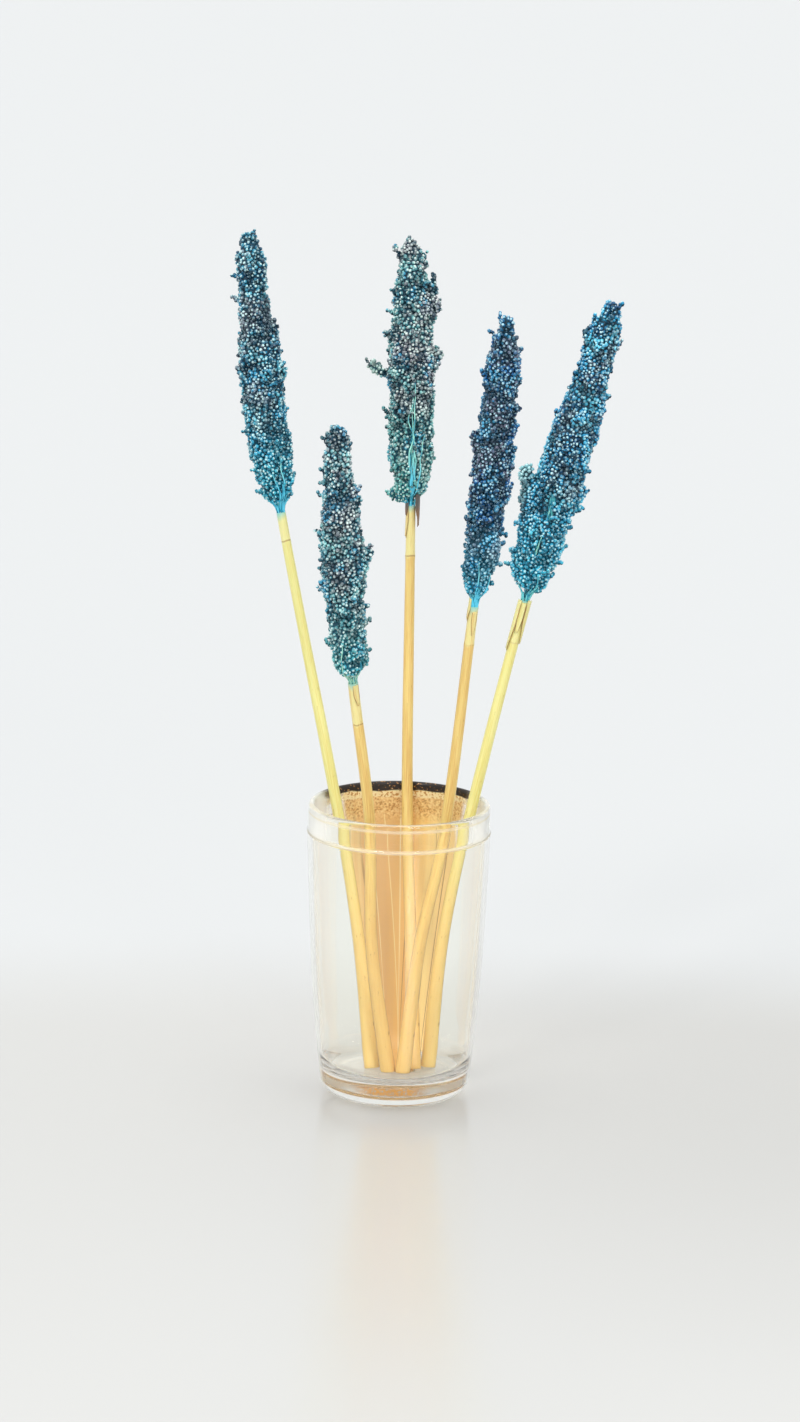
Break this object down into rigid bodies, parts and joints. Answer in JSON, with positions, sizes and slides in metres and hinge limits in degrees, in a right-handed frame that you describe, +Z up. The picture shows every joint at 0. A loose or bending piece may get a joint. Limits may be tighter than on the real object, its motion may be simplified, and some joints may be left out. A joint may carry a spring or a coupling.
{
  "type": "sorghum seed heads in a glass tumbler",
  "caption": "Dyed sorghum seed heads on straw stalks that fan out of a clear glass tumbler and lean on its rim.",
  "frame": {"origin": "middle of the tumbler's flat underside", "axes": "+Z up along the tumbler's axis, -Y towards the front that the picture shows, +X to the right"},
  "size_m": [0.2317, 0.2137, 0.5056],
  "materials": {
    "clear_glass": "clear polished glass",
    "straw_stalk": "smooth dry straw, satin, with fine lengthwise fibres",
    "dyed_grain": "small round seeds dyed teal blue, glossy"
  },
  "bodies": {
    "root": {"glass_tumbler": "clear_glass", "stalk_1": "straw_stalk", "stalk_2": "straw_stalk", "stalk_3": "straw_stalk", "stalk_4": "straw_stalk", "stalk_5": "straw_stalk", "head_1": "dyed_grain", "head_2": "dyed_grain", "head_3": "dyed_grain", "head_4": "dyed_grain", "head_5": "dyed_grain"}
  },
  "joints": []
}
